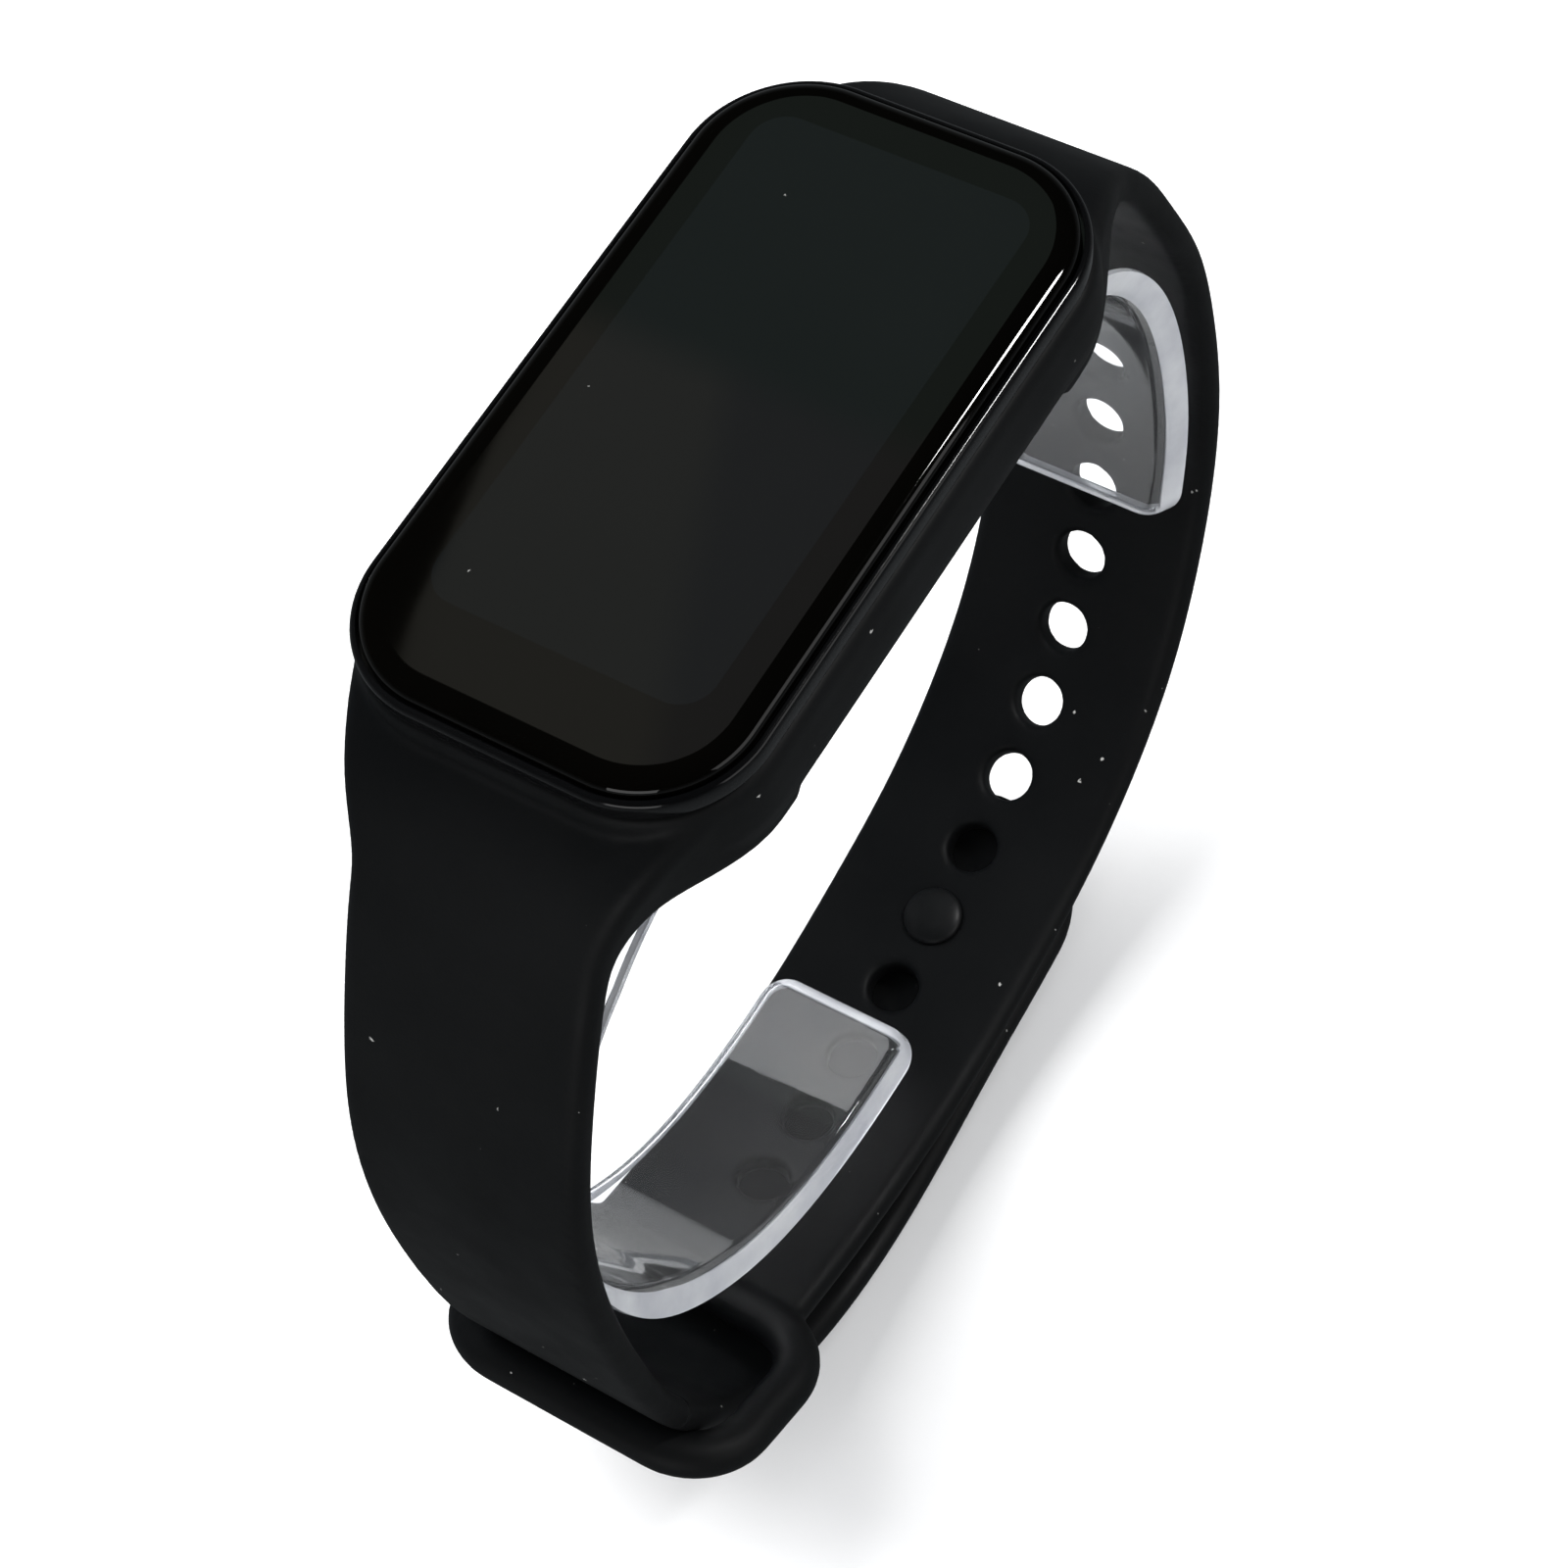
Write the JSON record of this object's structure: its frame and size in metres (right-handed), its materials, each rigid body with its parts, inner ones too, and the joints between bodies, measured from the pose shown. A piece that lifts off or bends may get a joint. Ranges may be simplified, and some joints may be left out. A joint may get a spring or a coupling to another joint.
{
  "type": "fitness tracker band",
  "caption": "Wrist fitness tracker: a rounded glass-faced capsule in a matte black silicone strap, buckled round a clear packaging former.",
  "frame": {"origin": "centre of the footprint, on the plane the closed band stands on", "axes": "+Z out of the display, +X along the display towards the perforated strap end, +Y across the strap width"},
  "size_m": [0.075, 0.0254, 0.0738],
  "materials": {
    "strap_cradle": "matte",
    "strap_hole_side": "matte",
    "strap_stud_side": "matte",
    "strap_tip": "matte",
    "clasp_stud": "satin",
    "cover_glass": "gloss",
    "glass_seal": "matte",
    "bezel_frame": "gloss",
    "housing_shell": "satin",
    "back_seal": "matte",
    "back_cover": "satin",
    "sensor_window": "gloss",
    "sensor_board": "satin",
    "sensor_led_a": "gloss",
    "sensor_led_b": "gloss",
    "photodiode": "gloss",
    "charge_contact_a": "polished",
    "charge_contact_b": "polished",
    "display_panel": "gloss",
    "display_driver": "satin",
    "display_flex": "satin",
    "main_board": "satin",
    "processor_chip": "matte",
    "memory_chip": "matte",
    "accelerometer_chip": "matte",
    "antenna_strip": "satin",
    "shield_can": "satin",
    "battery_pouch": "satin",
    "battery_pad": "matte",
    "motor_can": "satin",
    "motor_shaft": "polished",
    "motor_rotor": "satin",
    "packaging_former": "clear gloss"
  },
  "bodies": {
    "strap": {"strap_cradle": "strap_cradle", "strap_hole_side": "strap_hole_side", "strap_stud_side": "strap_stud_side"},
    "capsule": {"cover_glass": "cover_glass", "glass_seal": "glass_seal", "bezel_frame": "bezel_frame", "housing_shell": "housing_shell", "back_seal": "back_seal", "back_cover": "back_cover", "sensor_window": "sensor_window", "sensor_board": "sensor_board", "sensor_led_a": "sensor_led_a", "sensor_led_b": "sensor_led_b", "photodiode": "photodiode", "charge_contact_a": "charge_contact_a", "charge_contact_b": "charge_contact_b", "display_panel": "display_panel", "display_driver": "display_driver", "display_flex": "display_flex", "main_board": "main_board", "processor_chip": "processor_chip", "memory_chip": "memory_chip", "accelerometer_chip": "accelerometer_chip", "antenna_strip": "antenna_strip", "shield_can": "shield_can", "battery_pouch": "battery_pouch", "battery_pad": "battery_pad", "motor_can": "motor_can", "motor_shaft": "motor_shaft"},
    "motor_rotor": {"motor_rotor": "motor_rotor"},
    "clasp_tip": {"strap_tip": "strap_tip", "clasp_stud": "clasp_stud"},
    "packaging_former": {"packaging_former": "packaging_former"}
  },
  "joints": [
    {"name": "capsule_slide", "type": "slide", "parent": "strap", "child": "capsule", "axis": [0, 0, 1], "range_m": [0, 0.014]},
    {"name": "motor_spin", "type": "hinge", "parent": "capsule", "child": "motor_rotor", "pos_m": [-0.01257, 0.0044, 0.06761], "axis": [0, 0, 1], "continuous": true},
    {"name": "tip_lift", "type": "hinge", "parent": "strap", "child": "clasp_tip", "pos_m": [-0.00876, 0, 0.00016], "axis": [0, 1, 0], "range_deg": [0, 35], "stiffness_Nm_per_rad": 0.004, "springref_deg": -20.05},
    {"name": "former_slide", "type": "slide", "parent": "strap", "child": "packaging_former", "axis": [0, -1, 0], "range_m": [0, 0.032]}
  ]
}
